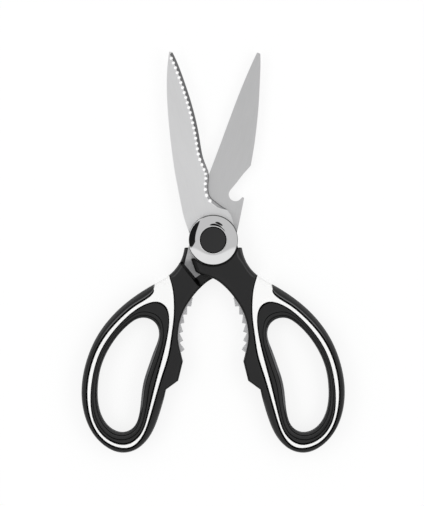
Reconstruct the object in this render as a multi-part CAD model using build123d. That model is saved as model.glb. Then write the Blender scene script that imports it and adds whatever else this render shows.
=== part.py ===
from build123d import *
import math
import os

os.makedirs("parts", exist_ok=True)

# The shears lie flat, blades towards +Y, with the origin on the pivot axis and on the
# plane that they rest on. Every half is drawn closed, as its upper half: blade along +Y,
# handle on the +X side, shear plane at z = 0, its own layer above it.

# Whole shears
blade_reach = 100.5  # pivot to blade tip
blade_half_width = 12.0
handle_reach = 118.4  # pivot to the far end of a handle
handle_span = 48.8  # closing line to the outer side of a handle
handle_thickness = 11.0
rest_half_angle = 13.85  # degrees that each half is turned when lying open
overrun = 2.0  # how far a cutting tool stands past what it cuts

# Blades
blade_thickness = 2.5
shear_gap = 0.2  # between the two blades
bevel_width = 1.9
bevel_runout = 0.2  # how far the bevel's cutter stands over the blade face
edge_land = 0.7  # height of the flat left at the cutting edge
scallop_radius = 0.85
scallop_pitch = 2.7
scallop_inset = 2.3  # from the cutting edge to the closed end of a scallop
scallop_lean = 38.0  # degrees between the scallop axis and the blade face
scallop_first = 3.6  # along the edge from the tip to the first scallop
scallop_count = 30
scallop_sides = 8

# Handles
grip_stand_back = 0.2  # the black faces lie this much under the white ones
grip_rounding = 3.0
ring_rounding = 1.9
lug_rounding = 1.0
step_lean = 12.0  # degrees between the step's wall and upright, with its foot nearer the pivot
core_web_half_height = 4.0
core_flange = 1.3  # how far the core's web reaches under each black piece
web_start_share = 0.30  # of handle_reach, where the flange begins
border_samples = 40

# Nutcracker jaws
jaw_radius = 31.3  # of the handle's hollow that the jaw lies in
jaw_depth = 2.8  # let into the handle
jaw_root_stand = 0.7  # tooth roots stand this far out of the handle
jaw_tooth_height = 1.8
jaw_half_height = 3.0
jaw_tooth_count = 8
jaw_start_angle = 30.5
jaw_end_angle = -26.5

# Pivot
screw_radius = 4.0
thread_radius = 3.0
screw_head_radius = 8.0
screw_head_height = 1.6
head_edge_break = 0.45
socket_radius = 2.4
socket_depth = 2.2
key_flat = 3.3  # screw axis to the flat that keys it in the front blade
key_clearance = 0.03
running_clearance = 0.05
spring_thickness = 0.35
spring_height = 0.8
spring_radius = 7.2
bearing_washer_radius = 9.0
nut_radius = 11.0
nut_edge_break = 0.6
nut_floor = 0.8  # closed end under the thread
nut_spanner_radius = 1.1
nut_spanner_offset = 7.0
nut_spanner_depth = 1.4
cover_radius = 12.8
cover_height = 3.6
cover_wall = 0.9
cover_dome_drop = 1.2  # from the button to the rim
cover_dome_radius = 17.2
cover_rounding = 0.5
button_radius = 6.85
button_clearance = 0.06
button_crown = 0.5
neck_gap = 0.5  # between the cover and the necks

half_thickness = handle_thickness / 2
grip_half_height = half_thickness - grip_stand_back
blade_low = shear_gap / 2
blade_high = blade_low + blade_thickness

# Outline of a handle, as shares of handle_span and handle_reach
side_shares = [
    (0.277, -0.057), (0.275, -0.093), (0.305, -0.152), (0.373, -0.199), (0.498, -0.250), (0.951, -0.528),
    (0.994, -0.619), (0.746, -0.948), (0.430, -1.000), (0.293, -0.980), (0.117, -0.819), (0.105, -0.726),
]
lug_shares = [(0.105, -0.726), (0.107, -0.684), (0.003, -0.633), (0.003, -0.549)]
hollow_shares = [
    (0.003, -0.549), (0.111, -0.456), (0.121, -0.325), (0.068, -0.262), (-0.094, -0.164), (-0.244, -0.127),
]
neck_shares = [(-0.244, -0.127), (-0.275, -0.057), (0.277, -0.057)]

# Outer border of the white stripe and shoulder, drawn past the handle at the shoulder
white_border_shares = [
    (0.398, -0.176), (0.346, -0.209), (0.297, -0.247), (0.250, -0.300), (0.213, -0.363),
    (0.189, -0.448), (0.172, -0.532), (0.184, -0.625), (0.197, -0.735), (0.207, -0.836),
    (0.242, -0.912), (0.318, -0.963), (0.451, -0.980), (0.615, -0.963), (0.748, -0.921),
    (0.848, -0.853), (0.920, -0.760), (0.941, -0.667), (0.920, -0.574), (0.855, -0.498),
    (0.748, -0.421), (0.625, -0.355), (0.512, -0.307), (0.480, -0.284), (0.490, -0.258),
    (0.512, -0.233),
]
# Border between the stripe and the black ring, and the finger hole
ring_border_shares = [
    (0.400, -0.319), (0.311, -0.334), (0.258, -0.372), (0.227, -0.439), (0.219, -0.541),
    (0.227, -0.676), (0.227, -0.819), (0.266, -0.910), (0.369, -0.958), (0.492, -0.967),
    (0.635, -0.949), (0.779, -0.894), (0.873, -0.807), (0.904, -0.693), (0.889, -0.591),
    (0.830, -0.514), (0.723, -0.431), (0.582, -0.355), (0.492, -0.328),
]
finger_hole_shares = [
    (0.482, -0.398), (0.373, -0.414), (0.326, -0.524), (0.357, -0.676), (0.320, -0.823), (0.348, -0.882),
    (0.430, -0.910), (0.543, -0.912), (0.758, -0.828), (0.836, -0.667), (0.748, -0.504),
]
# Where the handle steps up from its neck to its full thickness
step_shares = [(0.293, -0.133), (0.025, -0.217)]
# Block of the core that grips the end of the tang
core_block_shares = [
    (0.266, -0.163), (0.086, -0.219), (0.102, -0.253), (0.195, -0.363), (0.266, -0.363), (0.318, -0.203),
]
jaw_centre_shares = (-0.506, -0.380)

# Tang, as shares of handle_span and handle_reach
tang_shares = [
    (0.236, -0.058), (0.236, -0.135), (0.250, -0.194), (0.246, -0.262), (0.232, -0.321),
    (0.203, -0.321), (0.170, -0.270), (0.102, -0.228), (0.025, -0.182), (-0.074, -0.144),
    (-0.189, -0.105), (-0.225, -0.059),
]

# Blades, as shares of blade_half_width and blade_reach
serrated_edge_shares = [
    (0.192, 0.995), (0.292, 0.955), (0.408, 0.861), (0.483, 0.756), (0.517, 0.652),
    (0.492, 0.547), (0.442, 0.473), (0.433, 0.418), (0.492, 0.364), (0.500, 0.336),
    (0.408, 0.295), (0.333, 0.249), (0.408, 0.195), (0.633, 0.158),
]
serrated_heel_shares = [(0.633, 0.158), (0.883, 0.135), (1.000, 0.100), (1.017, 0.065)]
serrated_spine_shares = [
    (-0.917, 0.020), (-0.942, 0.080), (-0.983, 0.139), (-0.967, 0.239), (-0.908, 0.373),
    (-0.783, 0.522), (-0.608, 0.672), (-0.375, 0.816), (-0.083, 0.945), (0.033, 0.993),
]
serrated_tip_shares = [(0.033, 0.993), (0.108, 1.000), (0.192, 0.995)]
plain_edge_shares = [
    (0.108, 0.997), (0.158, 0.965), (0.258, 0.896), (0.467, 0.726), (0.633, 0.552),
    (0.783, 0.398), (0.883, 0.299), (0.975, 0.179), (1.017, 0.065),
]
plain_spine_shares = [(-0.917, 0.020), (-0.917, 0.100), (-0.892, 0.179), (-0.867, 0.251)]
opener_shares = [
    (-0.775, 0.252), (-0.683, 0.233), (-0.492, 0.222), (-0.283, 0.230), (-0.175, 0.253),
    (-0.242, 0.282), (-0.400, 0.320), (-0.558, 0.363), (-0.750, 0.407), (-0.808, 0.421),
]
plain_back_shares = [
    (-0.808, 0.421), (-0.758, 0.507), (-0.658, 0.617), (-0.508, 0.736), (-0.308, 0.861),
    (-0.075, 0.975), (-0.025, 0.994),
]
plain_tip_shares = [(-0.025, 0.994), (0.050, 1.000), (0.108, 0.997)]


def points(shares, width, reach):
    return [(across * width, along * reach) for across, along in shares]


def on_handle(shares):
    return points(shares, handle_span, handle_reach)


def on_blade(shares):
    return points(shares, blade_half_width, blade_reach)


def straight(corners):
    return [Line(a, b) for a, b in zip(corners, corners[1:])]


def slab(face, low, high):
    return extrude(Pos(0, 0, low) * face, high - low)


def disc(radius, low, high):
    return slab(Circle(radius), low, high)


def edges_at(solid, height):
    """Edges of a flat-topped solid that lie wholly in one level."""
    return solid.edges().filter_by_position(Axis.Z, height, height)


def away_from_pivot(edges, radius):
    """Leaves out the arc that is concentric with the pivot."""
    return [e for e in edges if e.geom_type != GeomType.CIRCLE or abs(e.radius - radius) > neck_gap / 2]


def handle_face():
    side = [Spline(*on_handle(side_shares))]
    lug = straight(on_handle(lug_shares))
    hollow = [Spline(*on_handle(hollow_shares))]
    neck = straight(on_handle(neck_shares))
    face = make_face(side + lug + hollow + neck)
    inner_corner = face.vertices().sort_by_distance((*on_handle(lug_shares)[1], 0))[0]
    face = fillet(inner_corner, lug_rounding)
    return face - Circle(cover_radius + neck_gap)


def moved_out(curve, distance):
    """Points of a curve, each set off to the curve's left by a distance."""
    places = [number / border_samples for number in range(border_samples + 1)]
    return [curve @ place + Vector(-(curve % place).Y, (curve % place).X) * distance for place in places]


def white_border_face(wider=0):
    border = Spline(*on_handle(white_border_shares))
    if wider:
        border = Spline(*moved_out(border, -wider))
    return make_face([border, Line(border @ 1, border @ 0)])


def ring_border_face(narrower=0):
    border = Spline(*on_handle(ring_border_shares), periodic=True)
    if narrower:
        border = Spline(*moved_out(border, narrower)[:-1], periodic=True)
    return make_face(border)


def finger_hole_face():
    return make_face(Spline(*on_handle(finger_hole_shares), periodic=True))


def neck_relief():
    """What the other half's layer keeps free on the pivot's side of the step's sloping wall."""
    start, end = [Vector(*p) for p in on_handle(step_shares)]
    along = (end - start).normalized()
    section = Plane(origin=end + along * handle_span, x_dir=(along.Y, -along.X, 0), z_dir=-along)
    low = -half_thickness - overrun
    slope = math.tan(math.radians(step_lean))
    foot, past = (half_thickness + blade_low) * slope, -overrun * slope
    corners = [(foot, blade_low), (handle_span, blade_low), (handle_span, low), (past, low)]
    return extrude(section * make_face(Polyline(*corners, close=True)), handle_span * 3)


def handle_body(half_height):
    """The whole handle with rounded edges, before it is parted into its pieces."""
    body = slab(handle_face(), -half_height, half_height)
    for height in (half_height, -half_height):
        body = fillet(away_from_pivot(edges_at(body, height), cover_radius + neck_gap), grip_rounding)
    return body


def blade_outline(edge, heel, tip, spine):
    tang = on_handle(tang_shares)
    runs = [Spline(*on_blade(run)) for run in (edge, heel, tip) if run]
    runs += [Spline(*on_blade(run)) for run in spine]
    heel_end = on_blade(heel or edge)[-1]
    joins = [Line(heel_end, tang[0]), Line(tang[-1], on_blade(spine[0])[0])]
    return runs + straight(tang) + joins


def keyed_hole():
    """Round hole with one flat, which keeps the screw from turning."""
    hole = disc(screw_radius + key_clearance, blade_low - overrun, blade_high + overrun)
    side = screw_radius * 2
    flat = Box(side, side, blade_thickness * 2 + overrun * 2)
    return hole - Pos(key_flat + key_clearance + side / 2, 0, blade_low) * flat


def scallops(edge):
    """Ground grooves in a row along the cutting edge, each running out of the bevel."""
    cutters = []
    length = scallop_inset * 4
    for number in range(scallop_count):
        distance = scallop_first + number * scallop_pitch
        place = edge.position_at(distance, position_mode=PositionMode.LENGTH)
        tangent = edge.tangent_at(distance, position_mode=PositionMode.LENGTH)
        inward = Vector(tangent.Y, -tangent.X)
        lean = math.radians(scallop_lean)
        axis = inward * math.cos(lean) + Vector(0, 0, 1) * math.sin(lean)
        top = Vector(place.X, place.Y, blade_high) + inward * scallop_inset
        start = top - axis * length
        along = Vector(tangent.X, tangent.Y)
        groove = extrude(RegularPolygon(scallop_radius, scallop_sides), length + overrun)
        cutters.append(Plane(origin=start, x_dir=along, z_dir=axis) * groove)
    return cutters


def bevel(edge):
    """What is ground off along a cutting edge: a wedge carried along it."""
    slope = (blade_thickness - edge_land) / bevel_width
    land = blade_low + edge_land
    top = blade_high + bevel_runout * slope
    wedge = [(overrun, land - overrun * slope), (-bevel_width - bevel_runout, top), (overrun, top)]
    tangent = edge % 0
    section = Plane(origin=edge @ 0, x_dir=Vector(-tangent.Y, tangent.X), z_dir=tangent)
    return sweep(section * make_face(Polyline(*wedge, close=True)), path=edge)


def serrated_blade():
    edge = Spline(*on_blade(serrated_edge_shares))
    runs = blade_outline(None, serrated_heel_shares, serrated_tip_shares, [serrated_spine_shares])
    blade = slab(make_face([edge] + runs), blade_low, blade_high)
    return blade - bevel(edge) - scallops(edge) - keyed_hole()


def plain_blade():
    runs = blade_outline(
        plain_edge_shares, None, plain_tip_shares, [plain_spine_shares, opener_shares, plain_back_shares]
    )
    prong = Line(on_blade(plain_spine_shares)[-1], on_blade(opener_shares)[0])
    blade = slab(make_face(runs + [prong]), blade_low, blade_high)
    blade -= bevel(Spline(*on_blade(plain_edge_shares)))
    return blade - disc(screw_radius + running_clearance, blade_low - overrun, blade_high + overrun)


def jaw():
    """Arc-shaped steel strip with saw teeth towards the gap between the handles."""
    centre = Vector(*on_handle([jaw_centre_shares])[0])

    def at(radius, angle):
        turn = math.radians(angle)
        return centre + Vector(math.cos(turn), math.sin(turn)) * radius

    root = jaw_radius - jaw_root_stand
    tip = root - jaw_tooth_height
    step = (jaw_end_angle - jaw_start_angle) / jaw_tooth_count
    lip_share, tip_share = 0.12, 0.84
    toothed = []
    for number in range(jaw_tooth_count):
        start = jaw_start_angle + number * step
        toothed += [at(root, start), at(root, start + step * lip_share), at(tip, start + step * tip_share)]
    toothed.append(at(root, jaw_end_angle))
    back = jaw_radius + jaw_depth
    ends = [at(back, jaw_start_angle), at(back, jaw_end_angle)]
    middle = at(back, (jaw_start_angle + jaw_end_angle) / 2)
    sides = [Line(ends[0], toothed[0]), Line(toothed[-1], ends[1])]
    face = make_face(straight(toothed) + sides + [ThreePointArc(ends[0], middle, ends[1])])
    return slab(face, -jaw_half_height, jaw_half_height)


def core_web():
    """Hidden part of the core: a flange under both black pieces and a block round the tang."""
    flange = white_border_face(core_flange) - ring_border_face(core_flange)
    keep_low = Pos(0, -handle_reach * (web_start_share + 1), 0) * Rectangle(handle_span * 4, handle_reach * 2)
    block = make_face(Polyline(*on_handle(core_block_shares), close=True))
    return slab(flange & keep_low, -core_web_half_height, core_web_half_height) + slab(
        block, -core_web_half_height, core_web_half_height
    )


def handle_core(web, blade, jaw_piece):
    """White moulding: the rib that shows as shoulder and stripe, with its web."""
    rib = handle_body(half_thickness) & slab(white_border_face(), -half_thickness, half_thickness)
    rib -= slab(ring_border_face(), -half_thickness - overrun, half_thickness + overrun)
    return rib + web - blade - jaw_piece


def outer_grip(web, blade, jaw_piece):
    """Black overmould outside the stripe: neck, stop lug and outer band."""
    inside = slab(white_border_face(), -half_thickness - overrun, half_thickness + overrun)
    return handle_body(grip_half_height) - inside - neck_relief() - web - blade - jaw_piece


def ring_grip(web):
    """Black ring round the finger hole."""
    ring = slab(ring_border_face() - finger_hole_face(), -grip_half_height, grip_half_height)
    middle = Vector(*on_handle(finger_hole_shares)[0])
    for height in (grip_half_height, -grip_half_height):
        near = edges_at(ring, height).sort_by_distance(middle + Vector(0, 0, height))[0]
        ring = chamfer(near, ring_rounding)
    return ring - web


def revolved(profile):
    return revolve(Plane.XZ * make_face(Polyline(*profile, close=True)), Axis.Z)


spring_top = blade_high + spring_height
head_top = spring_top + screw_head_height
cover_top = blade_high + cover_height


def pivot_screw():
    shank = disc(screw_radius, -blade_high, blade_low)
    keyed = disc(screw_radius, blade_low, blade_high)
    side = screw_radius * 2
    keyed -= Pos(key_flat + side / 2, 0, blade_low) * Box(side, side, blade_thickness * 2 + overrun * 2)
    collar = disc(screw_radius, blade_high, spring_top)
    head = chamfer(edges_at(disc(screw_head_radius, spring_top, head_top), head_top), head_edge_break)
    thread = disc(thread_radius, -half_thickness + nut_floor + running_clearance, -blade_high)
    socket = Pos(0, 0, head_top - socket_depth) * extrude(
        RegularPolygon(socket_radius, 6, major_radius=False), socket_depth + overrun
    )
    return shank + keyed + collar + head + thread - socket


def spring_washer():
    inner = screw_radius + running_clearance
    return revolved([
        (inner, spring_top - spring_thickness), (inner, spring_top),
        (spring_radius, blade_high + spring_thickness), (spring_radius, blade_high),
    ])


def blade_washer():
    ring = disc(bearing_washer_radius, -blade_low + running_clearance, blade_low)
    return ring - disc(screw_radius + running_clearance, -half_thickness, half_thickness)


def pivot_nut():
    nut = disc(nut_radius, -half_thickness, -blade_high - running_clearance)
    nut = chamfer(edges_at(nut, -half_thickness), nut_edge_break)
    nut -= disc(thread_radius, -half_thickness + nut_floor, half_thickness)
    for side in (-1, 1):
        hole = disc(nut_spanner_radius, -half_thickness - overrun, -half_thickness + nut_spanner_depth)
        nut -= Pos(side * nut_spanner_offset, 0, 0) * hole
    return nut


def cover_ring():
    """Chromed cap: a hollow ring with a domed face, rounded at its rim and round the button."""
    hole = button_radius + button_clearance
    lip = (hole, cover_top)
    rim = (cover_radius, cover_top - cover_dome_drop)
    inside = cover_radius - cover_wall
    under_rim = (inside, cover_top - cover_dome_drop - cover_wall)
    under_lip = (screw_head_radius + head_edge_break, cover_top - cover_wall)
    seat = [(screw_head_radius - head_edge_break, head_top), (hole, head_top)]
    dome = RadiusArc(lip, rim, cover_dome_radius)
    rest = straight([rim, (cover_radius, blade_high), (inside, blade_high), under_rim, under_lip, *seat, lip])
    profile = make_face([dome] + rest)
    rounded = [profile.vertices().sort_by_distance((*corner, 0))[0] for corner in (lip, rim)]
    return revolve(Plane.XZ * fillet(rounded, cover_rounding), Axis.Z)


def cover_button():
    rim = cover_top - button_crown
    cap = revolved([
        (0, head_top), (button_radius, head_top), (button_radius, rim - button_crown / 2),
        (button_radius - button_crown / 2, rim), (button_radius / 2, rim + button_crown / 3),
        (0, rim + button_crown / 2),
    ])
    peg = disc(socket_radius - button_clearance, head_top - socket_depth + button_clearance, head_top)
    return cap + peg


def front(piece):
    """Turns a piece from the closed drawing to its place in the open shears."""
    return Pos(0, 0, half_thickness) * Rot(0, 0, rest_half_angle) * piece


def rear(piece):
    """The same for the lower half, which is turned over about the blade line."""
    return Pos(0, 0, half_thickness) * Rot(0, 0, -rest_half_angle) * Rot(0, 180, 0) * piece


def write(name, piece):
    export_step(piece, f"parts/{name}.step")
    print(name, round(piece.volume), "mm3")


jaw_piece = jaw()
web = core_web()
blades = {"front": serrated_blade(), "rear": plain_blade()}
for side, place in (("front", front), ("rear", rear)):
    blade = blades[side]
    write(f"{side}_blade", place(blade))
    write(f"{side}_handle_core", place(handle_core(web, blade, jaw_piece)))
    write(f"{side}_outer_grip", place(outer_grip(web, blade, jaw_piece)))
    write(f"{side}_ring_grip", place(ring_grip(web)))
    write(f"{side}_jaw", place(jaw_piece))
for name, make in (
    ("pivot_screw", pivot_screw),
    ("spring_washer", spring_washer),
    ("blade_washer", blade_washer),
    ("pivot_nut", pivot_nut),
    ("cover_ring", cover_ring),
    ("cover_button", cover_button),
):
    write(name, front(make()))
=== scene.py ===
import math

import bmesh
import bpy
import numpy as np
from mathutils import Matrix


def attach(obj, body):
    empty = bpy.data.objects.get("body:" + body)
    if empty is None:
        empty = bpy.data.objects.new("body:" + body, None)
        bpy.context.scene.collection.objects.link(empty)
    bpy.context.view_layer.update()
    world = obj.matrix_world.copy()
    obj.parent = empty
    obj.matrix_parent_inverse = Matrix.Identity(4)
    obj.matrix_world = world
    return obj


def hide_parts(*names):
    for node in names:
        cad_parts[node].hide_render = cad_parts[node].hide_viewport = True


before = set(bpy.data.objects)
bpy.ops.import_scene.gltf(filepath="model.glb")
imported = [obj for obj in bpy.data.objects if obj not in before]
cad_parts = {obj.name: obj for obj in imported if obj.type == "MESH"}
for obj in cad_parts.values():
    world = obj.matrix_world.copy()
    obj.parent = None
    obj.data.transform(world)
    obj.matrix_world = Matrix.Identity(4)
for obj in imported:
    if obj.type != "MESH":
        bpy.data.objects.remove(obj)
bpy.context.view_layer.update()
print("frame loaded:", len(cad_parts), "nodes")

mm = 0.001
weldReach = 1e-7  # metres within which points are one

# The shears lie flat with the blades towards +Y. Each half is worked out closed, as the
# upper half, in millimetres: blade along +Y, handle on the +X side, shear plane at z 0.
shears = {
    "restHalfAngle": 13.85,  # degrees each half is turned when lying open
    "shearHeight": 5.5,  # of the shear plane over the floor
    "bladeLow": 0.1,
    "bladeHigh": 2.6,
    "whiteHalf": 5.5,
    "blackHalf": 5.3,
}


# Curves, as arrays of points

def smoothLine(knots, closed=False, perSpan=24):
    # cubic through the knots over chord length: the slopes m solve
    # m[i-1]/h[i-1] + 2 m[i] (1/h[i-1] + 1/h[i]) + m[i+1]/h[i] = 3 (d[i-1]/h[i-1] + d[i]/h[i])
    p = np.array(knots, float)
    if closed:
        p = np.vstack([p, p[:1]])
    n = len(p) - 1
    h = np.linalg.norm(np.diff(p, axis=0), axis=1)
    d = np.diff(p, axis=0) / h[:, None]
    system, right = np.zeros((n + 1, n + 1)), np.zeros((n + 1, p.shape[1]))
    i = np.arange(1, n)
    system[i, i - 1], system[i, i], system[i, i + 1] = 1 / h[i - 1], 2 / h[i - 1] + 2 / h[i], 1 / h[i]
    right[i] = 3 * (d[i - 1] / h[i - 1][:, None] + d[i] / h[i][:, None])
    if closed:
        system[0, [0, 1, n - 1]] = 2 / h[0] + 2 / h[-1], 1 / h[0], 1 / h[-1]
        right[0] = 3 * (d[0] / h[0] + d[-1] / h[-1])
        system[n, [0, n]] = -1, 1
    else:
        system[0, [0, 1]] = 2, 1
        system[n, [n, n - 1]] = 2, 1
        right[0], right[n] = 3 * d[0], 3 * d[-1]
    m = np.linalg.solve(system, right)
    t = np.linspace(0, 1, perSpan, endpoint=False)[None, :, None]
    a, b = p[:-1, None], p[1:, None]
    ma, mb = m[:-1, None] * h[:, None, None], m[1:, None] * h[:, None, None]
    inside = (1 + 2 * t) * (1 - t) ** 2 * a + t * (1 - t) ** 2 * ma
    inside = inside + t * t * (3 - 2 * t) * b + t * t * (t - 1) * mb
    return np.vstack([inside.reshape(-1, p.shape[1]), p[-1:]])


def lineLength(line):
    return np.linalg.norm(np.diff(np.array(line, float), axis=0), axis=1).sum()


def alongLine(line, shares):
    # points at shares of a line's length
    line = np.array(line, float)
    s = np.concatenate([[0], np.cumsum(np.linalg.norm(np.diff(line, axis=0), axis=1))])
    return np.stack([np.interp(shares * s[-1], s, across) for across in line.T], 1)


def evenly(line, count):
    return alongLine(line, np.linspace(0, 1, count))


def nearestTo(line, place):
    return int(np.argmin(np.linalg.norm(line - np.array(place), axis=1)))


def cut(line, start, end):
    # the stretch of a line between the points nearest to start and to end
    first, last = nearestTo(line, start), nearestTo(line, end)
    return line[first : last + 1] if first <= last else line[last : first + 1][::-1]


def cuts(line, stops):
    # the stretches of a line from each stop to the next
    return [cut(line, start, end) for start, end in zip(stops, stops[1:])]


def cutsRound(line, stops):
    # the stretches of a closed line, from its first point by each stop to its last
    places = [0] + [nearestTo(line, stop) for stop in stops] + [len(line) - 1]
    return [line[first : last + 1] for first, last in zip(places, places[1:])]


def unit(vectors):
    return vectors / np.linalg.norm(vectors, axis=1)[:, None]


def arc(centre, radius, first, last, count):
    # points round a centre between two angles in degrees
    turn = np.radians(np.linspace(first, last, count))
    return np.array(centre) + radius * np.column_stack([np.cos(turn), np.sin(turn)])


def joined(runs):
    # runs end to end, without the doubled points
    return np.vstack([run if k == 0 else run[1:] for k, run in enumerate(runs)])


def roundedCorner(before, corner, after, radius, count=8):
    # arc tangent to both sides of a corner
    a, c, b = (np.array(p, float) for p in (before, corner, after))
    u, v = (a - c) / np.linalg.norm(a - c), (b - c) / np.linalg.norm(b - c)
    half = math.acos(float(u @ v)) / 2
    reach = radius / math.tan(half)
    centre = c + (u + v) / np.linalg.norm(u + v) * radius / math.sin(half)
    start, end = c + u * reach - centre, c + v * reach - centre
    t = np.linspace(0, 1, count)[:, None]
    turn = math.pi - 2 * half
    return centre + (np.sin((1 - t) * turn) * start + np.sin(t * turn) * end) / math.sin(turn)


# Surfaces

def toWorld(points, side):
    # a half turned about z into its place; the rear one is then turned over about the y axis
    half = math.radians(shears["restHalfAngle"])
    c, s = math.cos(half), math.sin(half)
    x, y, z = points[..., 0], points[..., 1], points[..., 2]
    flip = 1 if side == "front" else -1
    out = np.stack([flip * (x * c - y * s), x * s + y * c, shears["shearHeight"] + flip * z], -1)
    return out * mm


def meshFrom(name, points, faces, side, attributes=None):
    mesh = bpy.data.meshes.new(name)
    mesh.from_pydata(toWorld(points, side).tolist(), [], faces)
    for key, values in (attributes or {}).items():
        layer = mesh.attributes.new(key, "FLOAT", "POINT")
        layer.data.foreach_set("value", np.asarray(values, np.float32))
    shape = bmesh.new()
    shape.from_mesh(mesh)
    bmesh.ops.remove_doubles(shape, verts=shape.verts, dist=weldReach)
    bmesh.ops.recalc_face_normals(shape, faces=shape.faces)
    shape.to_mesh(mesh)
    shape.free()
    return mesh


def gridFaces(rows, columns, closeRows, closeColumns):
    # quads of a grid of rows x columns points
    i = np.arange(rows if closeRows else rows - 1)[:, None]
    j = np.arange(columns if closeColumns else columns - 1)[None, :]
    k, l = (i + 1) % rows, (j + 1) % columns
    quads = np.stack([i * columns + j, i * columns + l, k * columns + l, k * columns + j], -1)
    return quads.reshape(-1, 4).tolist()


def endLadder(row, columns):
    # quads that close an end, between each upper point and the lower one under it
    k = np.arange(columns // 2 - 1)
    quads = np.stack([k, k + 1, columns - 2 - k, columns - 1 - k], 1)
    return (quads + row * columns).tolist()


def roundRun(reach, drop, steps=8):
    # quarter ellipse from the foot of an edge up to the top face: distance, drop, and painted shade, here
    # none
    phi = np.linspace(0, math.pi / 2, steps)
    return np.stack([reach * (1 - np.cos(phi)), drop * (1 - np.sin(phi)), 0 * phi], 1)


def mixedRuns(first, second, share):
    # one run per row, between two runs of as many points
    share = np.asarray(share, float)[:, None, None]
    return np.array(first, float)[None] * (1 - share) + np.array(second, float)[None] * share


# the most of a band's width that the inner run may take, and that both runs may take together
innerShare, bothShare = 0.7, 0.96


def bandPoints(inner, outer, section):
    # rings of points round a band: a run of (distance in from the edge, drop, painted shade above 0 and
    # painted highlight below 0) from each edge, an even middle between the two runs, and the same underneath
    rows = len(inner)
    innerRun, outerRun = (np.array(section[key], float) for key in ("inner", "outer"))
    innerRun, outerRun = (np.broadcast_to(run, (rows, *run.shape[-2:])) for run in (innerRun, outerRun))
    across = outer - inner
    width = np.linalg.norm(across, axis=1)[:, None]
    innerFit = np.minimum(1, innerShare * width / innerRun[:, -1:, 0])
    outerFit = np.minimum(1, (bothShare * width - innerRun[:, -1:, 0] * innerFit) / outerRun[:, -1:, 0])
    start, end = innerRun[:, :, 0] * innerFit, (width - outerRun[:, :, 0] * outerFit)[:, ::-1]
    t = np.linspace(0, 1, section["middleSteps"] + 2)[None, 1:-1]
    drops = innerRun[:, -1:, 1] * (1 - t) + outerRun[:, -1:, 1] * t
    a = np.hstack([start, start[:, -1:] * (1 - t) + end[:, :1] * t, end])
    z = section["half"] - np.hstack([innerRun[:, :, 1], drops, outerRun[:, ::-1, 1]])
    seam = np.hstack([innerRun[:, :, 2], 0 * drops, outerRun[:, ::-1, 2]])
    flat = inner[:, None] + across[:, None] * (a / width)[:, :, None]
    top = np.concatenate([flat, z[:, :, None]], 2)
    bottom = np.concatenate([flat, -z[:, :, None]], 2)
    return np.concatenate([top, bottom[:, ::-1]], 1), np.hstack([seam, seam[:, ::-1]])


sharpestMitre = 0.5  # least length of a mitred normal's share along an edge's own normal


def insetLoop(loop, distance):
    # a closed outline moved inwards along its mitred normals
    before, after = unit(loop - np.roll(loop, 1, 0)), unit(np.roll(loop, -1, 0) - loop)
    normals = np.stack([-(before + after)[:, 1], (before + after)[:, 0]], 1)
    along = np.sum(normals * np.stack([-before[:, 1], before[:, 0]], 1), 1)
    normals = normals / np.maximum(along, sharpestMitre)[:, None]
    x, y = loop[:, 0], loop[:, 1]
    turning = np.sign(np.sum(x * np.roll(y, -1) - y * np.roll(x, -1)))
    distance = np.broadcast_to(np.asarray(distance, float), (len(loop),))[:, None]
    return loop + normals * distance * turning


def plateMesh(name, loops, side):
    # closed loops from the bottom face up to the top face, with both faces closed
    points = np.vstack(loops)
    count = len(loops[0])
    faces = gridFaces(len(loops), count, False, True)
    faces.append(list(range(count))[::-1])
    faces.append(list(range(len(points) - count, len(points))))
    return meshFrom(name, points, faces, side)


def revolvedMesh(name, profile, side, steps):
    # closed profile of (radius, z) turned about the pivot axis; points on the axis merge
    turn = np.linspace(0, 2 * math.pi, steps, endpoint=False)[:, None]
    r, z = profile[None, :, 0], profile[None, :, 1]
    points = np.stack([r * np.cos(turn), r * np.sin(turn), z + 0 * turn], -1)
    faces = gridFaces(steps, len(profile), True, True)
    return meshFrom(name, points.reshape(-1, 3), faces, side)


# Materials

def fill(tree, place, item):
    # a node's socket takes a link, or else a plain value
    if isinstance(item, Value):
        tree.links.new(item.socket, place)
    else:
        place.default_value = item


class Value:
    # a node socket that adds Math nodes when it is used in a sum

    def __init__(self, tree, socket):
        self.tree, self.socket = tree, socket

    def worked(self, operation, *items, clamp=False):
        made = self.tree.nodes.new("ShaderNodeMath")
        made.operation, made.use_clamp = operation, clamp
        for place, item in zip(made.inputs, items):
            fill(self.tree, place, item)
        return Value(self.tree, made.outputs[0])

    def __add__(self, other):
        return self.worked("ADD", self, other)

    def __radd__(self, other):
        return self.worked("ADD", other, self)

    def __sub__(self, other):
        return self.worked("SUBTRACT", self, other)

    def __rsub__(self, other):
        return self.worked("SUBTRACT", other, self)

    def __mul__(self, other):
        return self.worked("MULTIPLY", self, other)

    def __rmul__(self, other):
        return self.worked("MULTIPLY", other, self)

    def __truediv__(self, other):
        return self.worked("DIVIDE", self, other)

    def __lt__(self, other):
        return self.worked("LESS_THAN", self, other)

    def atLeast(self, other):
        return self.worked("MAXIMUM", self, other)

    def root(self):
        return self.worked("SQRT", self)

    def clamped(self):
        return self.worked("ADD", self, 0, clamp=True)


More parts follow.
